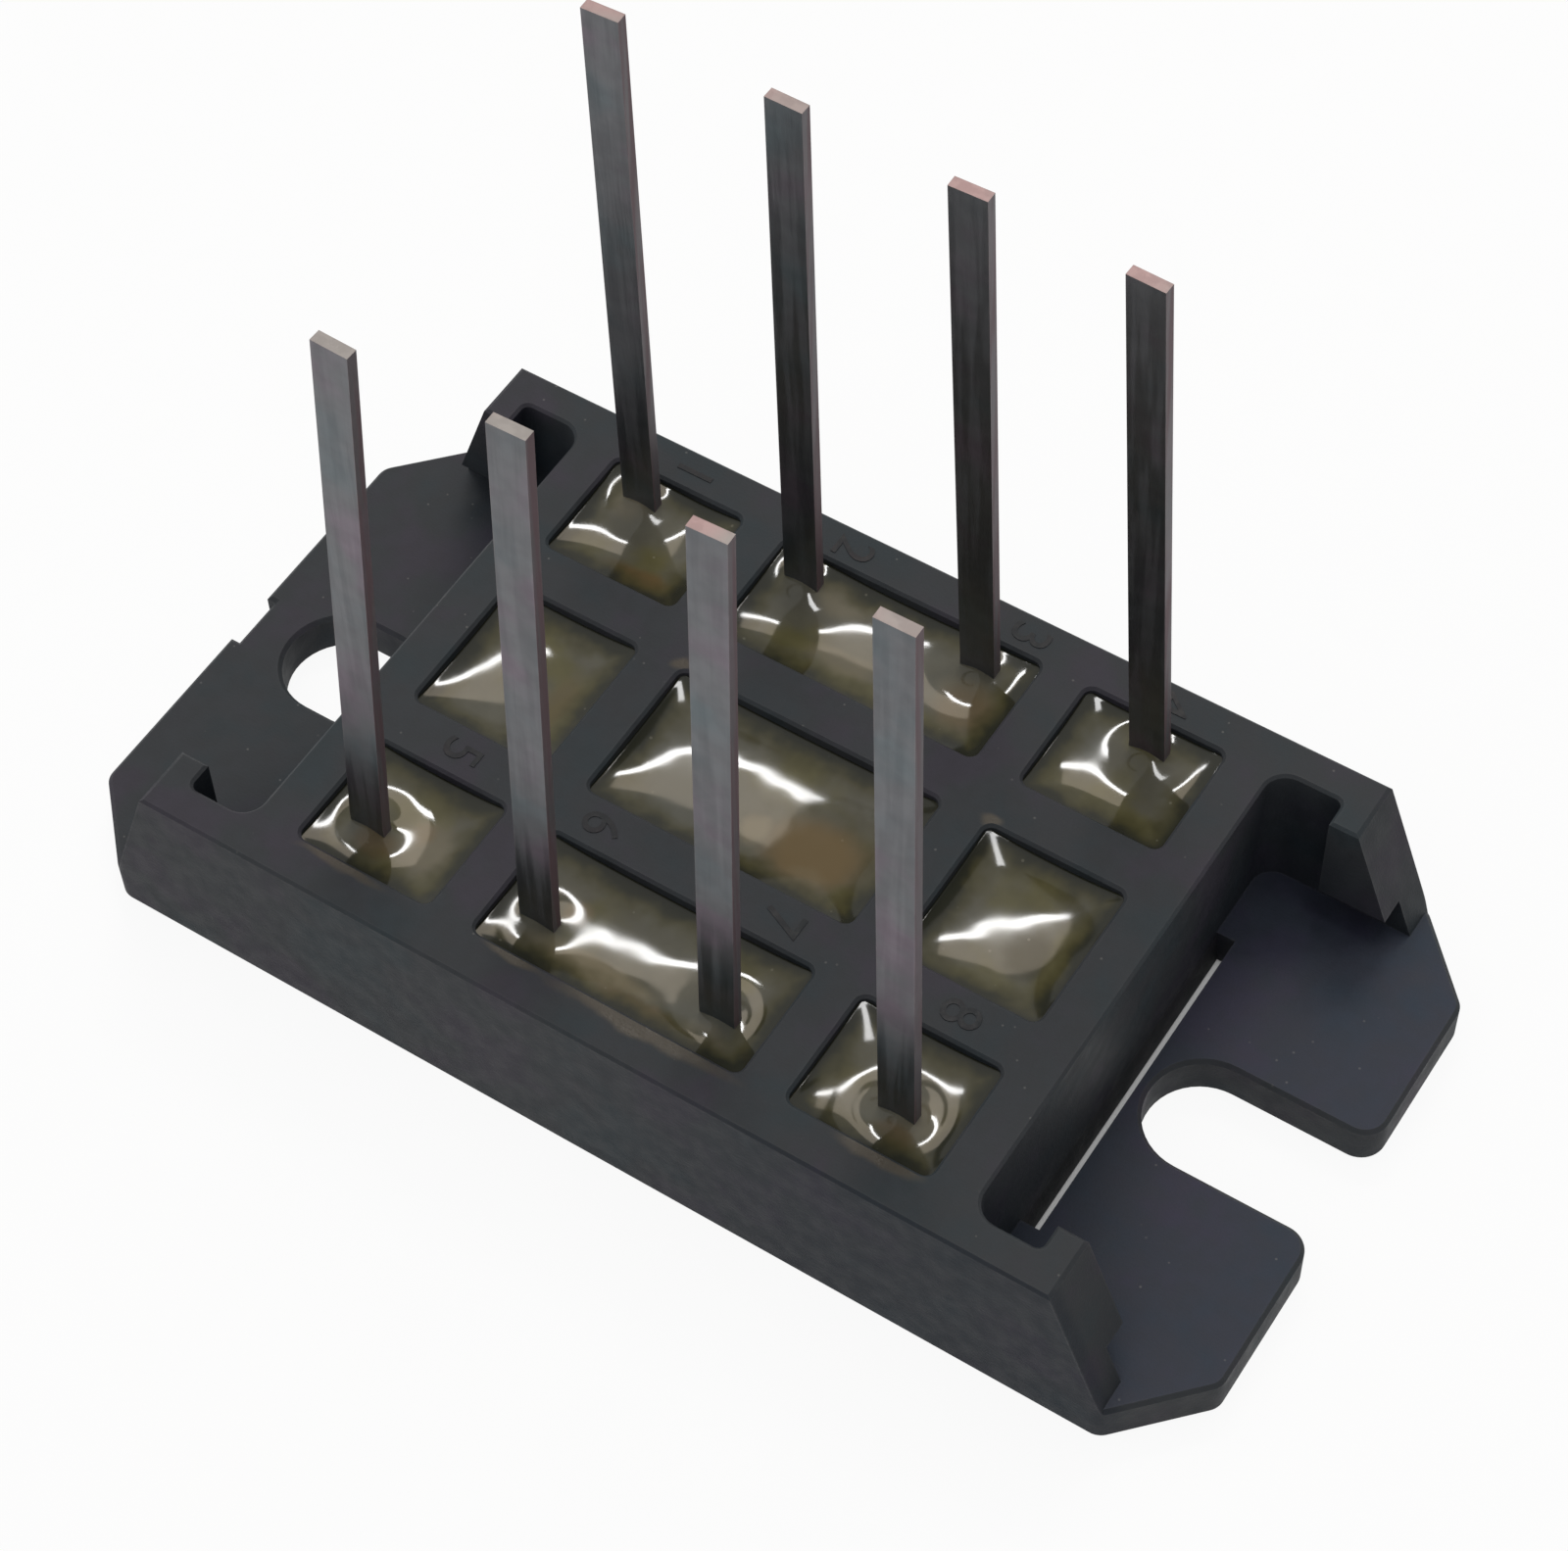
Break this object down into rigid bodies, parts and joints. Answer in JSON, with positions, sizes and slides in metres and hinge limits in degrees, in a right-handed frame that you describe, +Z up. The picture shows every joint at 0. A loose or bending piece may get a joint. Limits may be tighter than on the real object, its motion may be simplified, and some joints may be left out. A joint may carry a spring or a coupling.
{
  "type": "bridge rectifier module",
  "caption": "Flat potted power module with flat leads standing up through a barred frame, slotted flanges at both ends and a bare copper base for a heatsink.",
  "frame": {"origin": "centre of the base copper's underside, the face that lies on the heatsink", "axes": "+X along the module towards the open screw slot, +Y across it, +Z up along the leads"},
  "size_m": [0.063, 0.0316, 0.044],
  "materials": {
    "frame_plastic": "dark grey glass-filled moulding, matt",
    "resin": "translucent olive-brown casting resin, glossy",
    "tinned_copper": "tin-plated copper ribbon, satin, with bare copper at the cut tips",
    "copper": "copper, dull",
    "ceramic": "alumina, matt white",
    "silicon": "silicon die, smooth",
    "solder": "soft solder, satin",
    "glue": "silicone glue"
  },
  "bodies": {
    "root": {"housing": "frame_plastic", "resin": "resin", "base_copper": "copper", "ceramic_plate": "ceramic", "glue_bead": "glue", "plus_strip": "copper", "ac_strip_1": "copper", "ac_strip_2": "copper", "minus_strip": "copper", "strap_1": "copper", "strap_2": "copper", "strap_3": "copper", "strap_4": "copper", "diode_1": "silicon", "diode_2": "silicon", "diode_3": "silicon", "diode_4": "silicon", "die_solder": "solder", "strap_solder": "solder", "lead_solder": "solder", "lead_1": "tinned_copper", "lead_2": "tinned_copper", "lead_3": "tinned_copper", "lead_4": "tinned_copper", "lead_5": "tinned_copper", "lead_6": "tinned_copper", "lead_7": "tinned_copper", "lead_8": "tinned_copper"}
  },
  "joints": []
}
